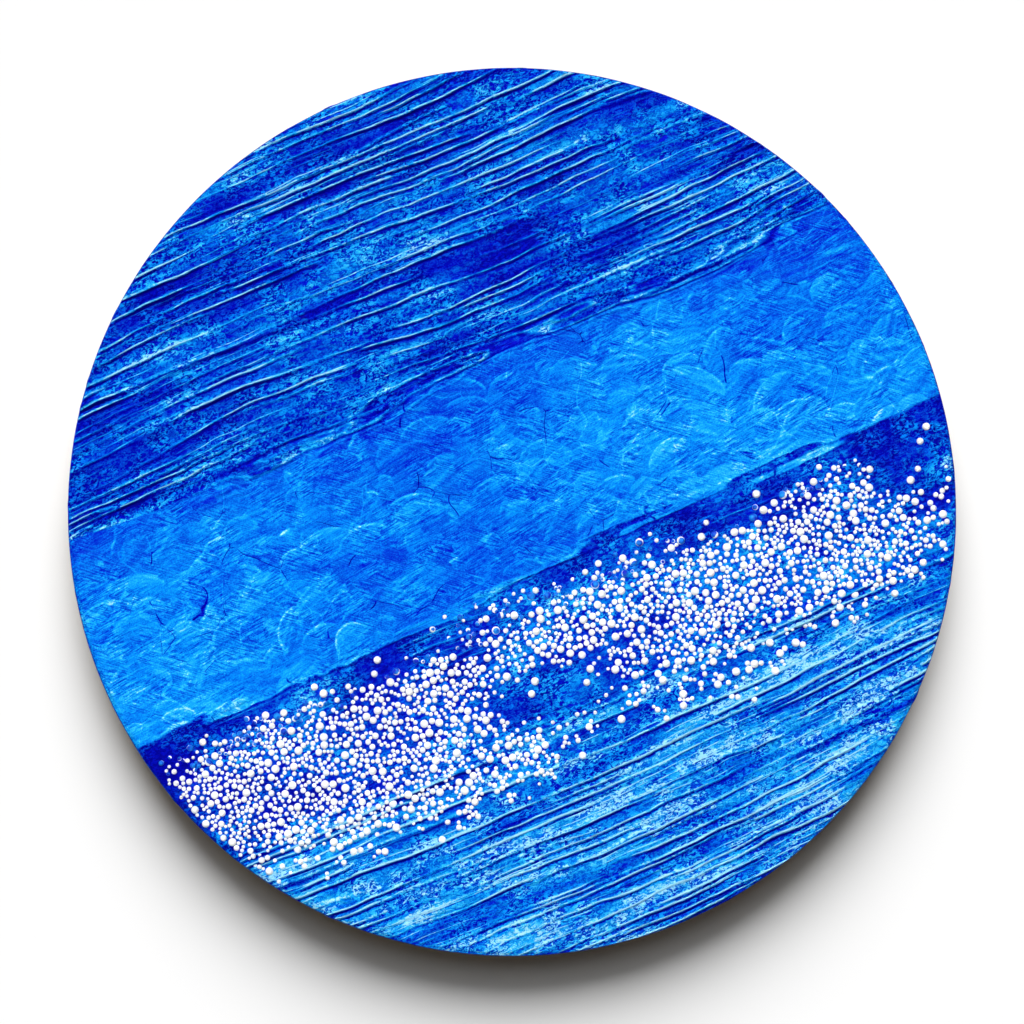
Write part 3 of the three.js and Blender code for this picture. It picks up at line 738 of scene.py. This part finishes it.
def edge_paint(material):
    """The skin of paint that runs over the disc's edge and ends in a ragged brush line near the back."""
    turn = np.linspace(0, 2 * math.pi, EDGE_STEPS, endpoint=False)

    def wavy(counts):
        """A seeded closed curve round the disc, of unit spread."""
        waves = sum(rng.normal() * np.cos(count * turn + rng.uniform(0, 2 * math.pi)) for count in counts)
        return waves / waves.std()

    def even(value):
        return np.full(EDGE_STEPS, value)

    rim_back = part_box("rim_segment_1")[1].y
    end = rim_back - BARE_STRIP + 0.0010 * wavy(range(3, 30)) + 0.0007 * wavy(range(60, 220, 3))
    thick = EDGE_PAINT + 0.00004 * wavy(range(5, 60))
    share = np.linspace(0, 1, EDGE_ROWS)[:, None]
    y = EDGE_START + (end[None, :] - EDGE_START) * share
    ripple = sum(0.00003 * np.cos(k * 800 * y + wavy(range(4, 40))[None, :]) for k in (1, 2.3))
    lumps = 0.00030 * np.clip(wavy(range(20, 120)) - 1.2, 0, 1.5)[None, :] * np.exp(-3 * share)
    radius = PANEL_RADIUS + thick[None, :] + ripple + lumps
    lip_y = np.stack([even(PANEL_FRONT + setback) for setback in LIP_SETBACKS])
    lip_radius = np.stack([even(PANEL_RADIUS - inset) for inset in LIP_INSETS])
    back_y = np.stack([end + 0.0002, end, even(PANEL_FRONT + 0.0012)])
    back_radius = np.stack([even(PANEL_RADIUS - inset) for inset in BACK_INSETS])
    all_radius = np.concatenate([lip_radius, radius, back_radius])
    all_y = np.concatenate([lip_y, y, back_y])
    points = np.stack([all_radius * np.cos(turn), all_y, all_radius * np.sin(turn)], -1)
    grid = np.arange(all_radius.size).reshape(all_radius.shape)
    nearer = np.roll(grid, -1, axis=1)
    below = np.roll(grid, -1, axis=0)
    faces = np.stack([grid, below, np.roll(below, -1, axis=1), nearer], -1).reshape(-1, 4)
    piece = mesh_piece("edge_paint", points.reshape(-1, 3), [faces], [True], "panel",
                       material)
    streaks = 0.30 + 0.05 * wavy(range(10, 200, 7))[None, :]
    streaks = streaks + 0.05 * np.cos(2600 * all_y + 3 * wavy(range(3, 20)))
    point_values(piece, "tone", streaks)
    return piece


def refined(name, arris, material):
    """A CAD node's own shape with its edges eased, in place of the node."""
    work = bmesh.new()
    work.from_mesh(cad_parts[name].data)
    bmesh.ops.remove_doubles(work, verts=work.verts, dist=1e-6)
    bmesh.ops.dissolve_limit(work, angle_limit=math.radians(0.5), verts=work.verts, edges=work.edges)
    least = math.radians(25)
    sharp = [edge for edge in work.edges if edge.is_manifold and edge.calc_face_angle() > least]
    bmesh.ops.bevel(work, geom=sharp, offset=arris, offset_type="OFFSET", segments=2, profile=0.6,
                    affect="EDGES", clamp_overlap=True)
    bmesh.ops.recalc_face_normals(work, faces=work.faces)
    for face in work.faces:
        face.smooth = True
    mesh = bpy.data.meshes.new("eased_" + name)
    work.to_mesh(mesh)
    work.free()
    piece = add_piece("eased_" + name, mesh, "panel", material, (name,))
    piece.modifiers.new("flat_faces", "WEIGHTED_NORMAL")


# Pale and dark wood of the boards and the dowels, and how close their year rings are.
PINE = ((236, 208, 160), (206, 162, 108))
BEECH = ((214, 176, 132), (182, 138, 96))
RIM_RINGS = 38
BRACE_RINGS = 34
DOWEL_RINGS = 60


def wood_finish(name, grain_turn, seed, pale, dark, ring_scale):
    """Planed wood: year rings cut along the grain, fine fibres and faint stains."""
    finish = Finish(name)
    shift = (0.13 * seed, 0.045 + 0.006 * (seed % 3), 0.03 * (seed % 4) - 0.05)
    board = finish.place(turn=(0, grain_turn, 0), shift=shift)
    stretched = finish.mapped(board, Scale=(0.12, 1, 1))
    ring_inputs = {"Vector": stretched, "Scale": ring_scale, "Distortion": 2.5, "Detail": 2.0,
                   "Detail Scale": 1.5, "Detail Roughness": 0.5}
    rings = finish.put("ShaderNodeTexWave", ring_inputs, wave_type="RINGS", rings_direction="X",
                       wave_profile="SAW").outputs["Fac"]
    fibres = finish.noise(finish.mapped(board, Scale=(25, 1400, 1400)), 1.0, 3, 0.6)
    stain = finish.noise(board, 9, 3, 0.6)
    late = finish.remap(rings, 0.35, 1.0)
    body = finish.mix(late, colour(*pale), colour(*dark))
    fibre_shade = colour(*[0.72 * part for part in dark])
    lined = finish.mix(finish.remap(fibres, 0.35, 0.75, 0.0, 0.35), body, fibre_shade)
    shade = finish.mix(finish.remap(stain, 0.45, 0.75, 0.0, 0.30), lined, colour(*dark))
    rough = finish.remap(fibres, 0.3, 0.7, 0.50, 0.68)
    normal = finish.bump(finish.maths("ADD", fibres, finish.times(late, 0.6)), 0.35, 0.0003)
    return finish.surface(Base_Color=shade, Roughness=rough, Specular_IOR_Level=0.3, Normal=normal)


def plywood_finish():
    """Birch veneer, peeled from the log: pale, with a broad faint figure and short dark pores."""
    finish = Finish("birch_plywood")
    board = finish.place()
    figure = finish.noise(finish.mapped(board, Scale=(1.6, 9, 9)), 3.0, 4, 0.55, 1.2)
    pores = finish.noise(finish.mapped(board, Scale=(40, 1500, 1500)), 1.0, 2, 0.5)
    body = finish.ramp(figure, ((0.30, (208, 172, 124)), (0.50, (228, 198, 154)), (0.70, (238, 214, 176))))
    shade = finish.mix(finish.remap(pores, 0.56, 0.72, 0.0, 0.45), body, colour(150, 108, 66))
    normal = finish.bump(pores, 0.3, 0.0002)
    return finish.surface(Base_Color=shade, Roughness=0.6, Specular_IOR_Level=0.3, Normal=normal)


def steel_finish():
    """Zinc-plated steel with faint spangle, a cloudy tint and fine scratches."""
    finish = Finish("zinc_steel")
    own = finish.place()
    spangle = finish.cells(own, 700, "F1", "Color")
    scratches = finish.noise(finish.mapped(own, Scale=(300, 5000, 5000)), 1.0, 2, 0.5)
    cloud = finish.noise(own, 260, 3, 0.6)
    tint = finish.ramp(cloud, ((0.30, (168, 170, 174)), (0.55, (196, 198, 200)), (0.75, (206, 200, 184))))
    shade = finish.mix(0.06, tint, spangle, "MULTIPLY")
    rough = finish.remap(finish.maths("ADD", cloud, scratches), 0.7, 1.3, 0.26, 0.48)
    normal = finish.bump(scratches, 0.15, 0.00005)
    return finish.surface(Base_Color=shade, Metallic=1.0, Roughness=rough, Normal=normal)


def rubber_finish():
    """Black rubber with a dusty bloom and moulding grain."""
    finish = Finish("bumper_rubber")
    own = finish.place()
    dust = finish.noise(own, 420, 4, 0.65)
    shade = finish.ramp(dust, ((0.35, (30, 30, 32)), (0.75, (66, 65, 64))))
    rough = finish.remap(dust, 0.3, 0.7, 0.55, 0.8)
    normal = finish.bump(finish.noise(own, 2600, 2, 0.6), 0.3, 0.0001)
    return finish.surface(Base_Color=shade, Roughness=rough, Normal=normal)


# How far the edges of the panel, the rim, the braces and the straps are eased.
PANEL_ARRIS = 0.0003
RIM_ARRIS = 0.0005
BRACE_ARRIS = 0.0006
STRAP_ARRIS = 0.0002


def nodes_named(start):
    return sorted(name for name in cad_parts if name.startswith(start))


def frame_pieces():
    """The wooden panel, the rim and the braces behind it, each board with its own grain."""
    refined("face_panel", PANEL_ARRIS, plywood_finish())
    for order, name in enumerate(nodes_named("rim_segment")):
        low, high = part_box(name)
        middle = (low + high) / 2
        grain = math.atan2(middle.z, middle.x) + math.pi / 2
        pine = wood_finish("pine_" + name, grain, order + 1, *PINE, RIM_RINGS)
        refined(name, RIM_ARRIS, pine)
    for order, name in enumerate(("brace_left", "brace_right", "brace_cross")):
        grain = 0 if name == "brace_cross" else math.pi / 2
        pine = wood_finish("pine_" + name, grain, order + 11, *PINE, BRACE_RINGS)
        refined(name, BRACE_ARRIS, pine)
    beech = wood_finish("beech_dowels", math.pi / 2, 21, *BEECH, DOWEL_RINGS)
    for name in nodes_named("rim_dowel"):
        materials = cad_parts[name].data.materials
        materials.clear()
        materials.append(beech)


def lathe(profile, steps):
    """Points and faces of a body turned about Y, from radii and heights that start and end on the axis."""
    turn = np.linspace(0, 2 * math.pi, steps, endpoint=False)
    inner = np.array(profile[1:-1])
    ring = np.stack([inner[:, :1] * np.cos(turn), inner[:, 1:] + 0 * turn, inner[:, :1] * np.sin(turn)], -1)
    points = np.concatenate([ring.reshape(-1, 3), [[0, profile[0][1], 0], [0, profile[-1][1], 0]]])
    grid = np.arange(len(inner) * steps).reshape(len(inner), steps)
    nearer = np.roll(grid, -1, axis=1)
    sides = np.stack([grid[:-1], grid[1:], nearer[1:], nearer[:-1]], -1).reshape(-1, 4)
    cap_first = np.stack([np.full(steps, len(points) - 2), grid[0], nearer[0]], -1)
    cap_last = np.stack([np.full(steps, len(points) - 1), nearer[-1], grid[-1]], -1)
    return points, [sides, cap_first, cap_last]


def turned_piece(ending, node, points, faces, material):
    """A turned body at the middle of its node's box, in place of the node."""
    low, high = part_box(node)
    middle = np.array(((low.x + high.x) / 2, low.y, (low.z + high.z) / 2))
    mesh_piece(node + ending, points + middle, faces, [True] * 3, "panel", material, (node,))


BUMPER_STEPS = 48


def bumpers(material):
    """Rubber buttons with a rounded shoulder and a hollow in the middle of the flat."""
    bend = np.linspace(0, math.pi / 2, 7)
    shoulder = [(1 - 0.36 * (1 - math.cos(turn)), 0.5 + 0.5 * math.sin(turn)) for turn in bend]
    shares = [(0, 0), (0.98, 0), (1, 0.06), *shoulder, (0.42, 1), (0.36, 0.97), (0.2, 0.90), (0, 0.88)]
    for name in nodes_named("wall_bumper"):
        low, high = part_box(name)
        radius = (high.x - low.x) / 2
        height = high.y - low.y
        points, faces = lathe([(radius * out, height * up) for out, up in shares], BUMPER_STEPS)
        turned_piece("_button", name, points, faces, material)


# The screws' heads, shanks and points, and the recess pressed into the heads.
SCREW_STEPS = 72
HEAD_HEIGHT = 0.002
SHANK_RADIUS = 0.00175
POINT_START = 0.0006
POINT_LENGTH = 0.003
RECESS_DEPTH = 0.0011


def screws(material):
    """Pan-head screws with a pressed cross recess."""
    for name in nodes_named("hanger_screw"):
        low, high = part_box(name)
        radius = (high.x - low.x) / 2
        top = high.y - low.y
        base = top - HEAD_HEIGHT
        shares = np.linspace(1, 0.02, 16)
        crown = [(radius * part, base + HEAD_HEIGHT * (0.42 + 0.58 * (1 - part ** 3.2))) for part in shares]
        shank = [(0.25 * SHANK_RADIUS, POINT_START), (SHANK_RADIUS, POINT_LENGTH), (SHANK_RADIUS, base)]
        profile = [(0, 0), *shank, (0.97 * radius, base), (radius, base + 0.0002), *crown, (0, top)]
        points, faces = lathe(profile, SCREW_STEPS)
        arm = 0.52 * radius
        wide = 0.16 * radius
        across = np.abs(points[:, 0])
        upright = np.abs(points[:, 2])
        arm_one = step(-wide, -0.6 * wide, -across) * step(-arm, -0.75 * arm, -upright)
        arm_two = step(-wide, -0.6 * wide, -upright) * step(-arm, -0.75 * arm, -across)
        in_head = points[:, 1] > base + 0.3 * HEAD_HEIGHT
        points[:, 1] -= in_head * RECESS_DEPTH * np.maximum(arm_one, arm_two)
        turned_piece("_turned", name, points, faces, material)


# The D-rings' wire, its corners at the bar, and the butt of its ends among the bar's steps.
WIRE_RADIUS = 0.0015
WIRE_STEPS = 20
RING_CORNER = 0.003
CORNER_STEPS = 12
BOW_STEPS = 60
BAR_STEPS = 24
BUTT = slice(11, 13)
BUTT_SHARE = 0.93


def ring_path(half, reach):
    """The wire's middle line in the ring's own plane: the bar, a corner, the bow and the other corner."""
    flat = half - RING_CORNER
    bend = np.linspace(0, math.pi / 2, CORNER_STEPS)
    bow = np.linspace(0, math.pi, BOW_STEPS)
    bar = np.linspace(-flat, flat, BAR_STEPS)
    rise = RING_CORNER * np.sin(bend)
    run = RING_CORNER * np.cos(bend)
    return np.concatenate([
        np.stack([bar, 0 * bar], -1),
        np.stack([flat + rise, RING_CORNER - run], -1)[1:],
        np.stack([half * np.cos(bow), reach - half + half * np.sin(bow)], -1),
        np.stack([-flat - run, RING_CORNER - rise], -1)[:-1],
    ])


def rings(material):
    """The hangers' D-rings: round wire, with the butt of the wire's ends showing on the bar."""
    turn = np.linspace(0, 2 * math.pi, WIRE_STEPS, endpoint=False)
    for side in ("left", "right"):
        node = "hanger_ring_" + side
        low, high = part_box(node)
        reach = high.z - low.z - 2 * WIRE_RADIUS
        lean = math.asin((high.y - low.y - 2 * WIRE_RADIUS) / reach)
        path = ring_path((high.x - low.x) / 2 - WIRE_RADIUS, reach)
        ahead = np.roll(path, -1, axis=0) - np.roll(path, 1, axis=0)
        ahead /= np.linalg.norm(ahead, axis=1)[:, None]
        outward = np.stack([ahead[:, 1], -ahead[:, 0]], -1)
        thick = np.full(len(path), WIRE_RADIUS)
        thick[BUTT] *= BUTT_SHARE
        out = thick[:, None] * np.cos(turn)[None, :]
        off_plane = thick[:, None] * np.sin(turn)[None, :]
        in_plane = path[:, None, :] + out[..., None] * outward[:, None, :]
        x = in_plane[..., 0] + (low.x + high.x) / 2
        up = in_plane[..., 1]
        y = off_plane * math.cos(lean) - up * math.sin(lean) + high.y - WIRE_RADIUS
        z = up * math.cos(lean) + off_plane * math.sin(lean) + low.z + WIRE_RADIUS
        grid = np.arange(x.size).reshape(x.shape)
        nearer = np.roll(grid, -1, axis=1)
        onward = np.roll(grid, -1, axis=0)
        faces = np.stack([grid, nearer, np.roll(onward, -1, axis=1), onward], -1).reshape(-1, 4)
        points = np.stack([x, y, z], -1).reshape(-1, 3)
        mesh_piece(node + "_wire", points, [faces], [True], "ring_" + side, material, (node,))


# The edge's paint passes no blue on to the wall's shadow.
edge_paint(paint).visible_diffuse = False
frame_pieces()
steel = steel_finish()
for side in ("left", "right"):
    refined("hanger_strap_" + side, STRAP_ARRIS, steel)
screws(steel)
rings(steel)
bumpers(rubber_finish())


# The stage, the light from all round, and the widths of the frame and the disc in the photograph.
STAGE_REACH = 6.0
WALL_GAP = 0.0005
FLOOR_DROP = 2.4
WALL_SHADE = (1, 1, 1, 1)
FLOOR_SHADE = (0.92, 0.92, 0.92, 1)
LIGHT_ALL_ROUND = 0.03
FRAME_PIXELS = 1024
DISC_PIXELS = 888


def backdrop(name, corners, shade):
    """A plain sheet that shows on its front alone and lets the light from behind through."""
    mesh = bpy.data.meshes.new(name)
    mesh.from_pydata(corners, [], [(0, 1, 2, 3)])
    sheet = bpy.data.objects.new(name, mesh)
    bpy.context.scene.collection.objects.link(sheet)
    finish = Finish(name)
    clear_side = finish.put("ShaderNodeBsdfTransparent", {})
    matt = finish.put("ShaderNodeBsdfDiffuse", {"Color": shade})
    side = finish.put("ShaderNodeNewGeometry", {}).outputs["Backfacing"]
    both = finish.put("ShaderNodeMixShader", {0: side, 1: matt.outputs[0], 2: clear_side.outputs[0]})
    finish.feed(finish.tree.nodes["Material Output"].inputs["Surface"], both.outputs[0])
    mesh.materials.append(finish.material)
    sheet.visible_shadow = False
    sheet.visible_diffuse = False
    sheet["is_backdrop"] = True
    return sheet


def stage():
    """A white wall behind the disc and a pale floor below it."""
    floor = -FLOOR_DROP * PANEL_RADIUS
    square = [(STAGE_REACH * a, STAGE_REACH * b) for a, b in ((-1, -1), (1, -1), (1, 1), (-1, 1))]
    wall = backdrop("wall", [(a, WALL_GAP, b) for a, b in square], WALL_SHADE)
    ground = backdrop("floor", [(a, b, floor) for a, b in square], FLOOR_SHADE)
    return wall, ground


def sun(name, strength, elevation, azimuth, softness, lit, direct_only=False):
    """A soft lamp that shines from this height and side on these objects. Azimuth 0 is the disc's front."""
    lamp = bpy.data.lights.new(name, "SUN")
    lamp.energy = strength
    lamp.angle = math.radians(softness)
    if direct_only:
        lamp.cycles.max_bounces = 0
    holder = bpy.data.objects.new(name, lamp)
    bpy.context.scene.collection.objects.link(holder)
    up = math.radians(elevation)
    side = math.radians(azimuth)
    source = Vector((math.sin(side) * math.cos(up), -math.cos(side) * math.cos(up), math.sin(up)))
    holder.rotation_mode = "QUATERNION"
    holder.rotation_quaternion = source.to_track_quat("Z", "Y")
    receivers = bpy.data.collections.new(name + "_lit")
    for thing in lit:
        receivers.objects.link(thing)
    holder.light_linking.receiver_collection = receivers


def lamps(wall, floor):
    """A soft key from above, a fill from the front and a key behind. The wall and the floor have lamps of
    their own, and the rim's boards don't pass their back light on to the wall that it came through."""
    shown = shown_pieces()
    rims = [piece for piece in shown if "rim_segment" in piece.name]
    others = [piece for piece in shown if piece not in rims]
    behind = {"strength": 3.2, "elevation": 35, "azimuth": 160, "softness": 60}
    sun("key", strength=2.3, elevation=42, azimuth=0, softness=25, lit=shown)
    sun("fill", strength=2.35, elevation=8, azimuth=-15, softness=100, lit=shown)
    sun("back_key", **behind, lit=others)
    sun("rim_back_key", **behind, lit=rims, direct_only=True)
    sun("wall_key", strength=4.3, elevation=52, azimuth=0, softness=42, lit=[wall])
    sun("wall_low", strength=0.46, elevation=25, azimuth=0, softness=30, lit=[wall])
    sun("floor_key", strength=3.6, elevation=80, azimuth=0, softness=50, lit=[floor])


def surroundings():
    """White behind everything, with a low even light from all round."""
    world = bpy.data.worlds.new("studio")
    bpy.context.scene.world = world
    world.use_nodes = True
    tree = world.node_tree
    path = tree.nodes.new("ShaderNodeLightPath")
    seen = path.outputs["Is Camera Ray"]
    for ray in ("Is Glossy Ray", "Is Transmission Ray"):
        either = tree.nodes.new("ShaderNodeMath")
        either.operation = "MAXIMUM"
        tree.links.new(seen, either.inputs[0])
        tree.links.new(path.outputs[ray], either.inputs[1])
        seen = either.outputs[0]
    level = tree.nodes.new("ShaderNodeMapRange")
    level.inputs["To Min"].default_value = LIGHT_ALL_ROUND
    level.inputs["To Max"].default_value = 1.0
    tree.links.new(seen, level.inputs["Value"])
    background = tree.nodes["Background"]
    background.inputs["Color"].default_value = (1, 1, 1, 1)
    tree.links.new(level.outputs[0], background.inputs["Strength"])


def camera():
    """Square on to the face, framed as in the photograph."""
    lens = bpy.data.cameras.new("camera")
    lens.lens = 135
    lens.sensor_width = 36
    lens.clip_end = 50
    eye = bpy.data.objects.new("camera", lens)
    bpy.context.scene.collection.objects.link(eye)
    view_width = 2 * PANEL_RADIUS * FRAME_PIXELS / DISC_PIXELS
    eye.location = (0, PANEL_FRONT - view_width * lens.lens / lens.sensor_width, 0)
    eye.rotation_euler = (math.radians(90), 0, 0)
    bpy.context.scene.camera = eye


lamps(*stage())
surroundings()
camera()
bpy.context.scene.view_settings.view_transform = "Standard"

bpy.context.view_layer.update()
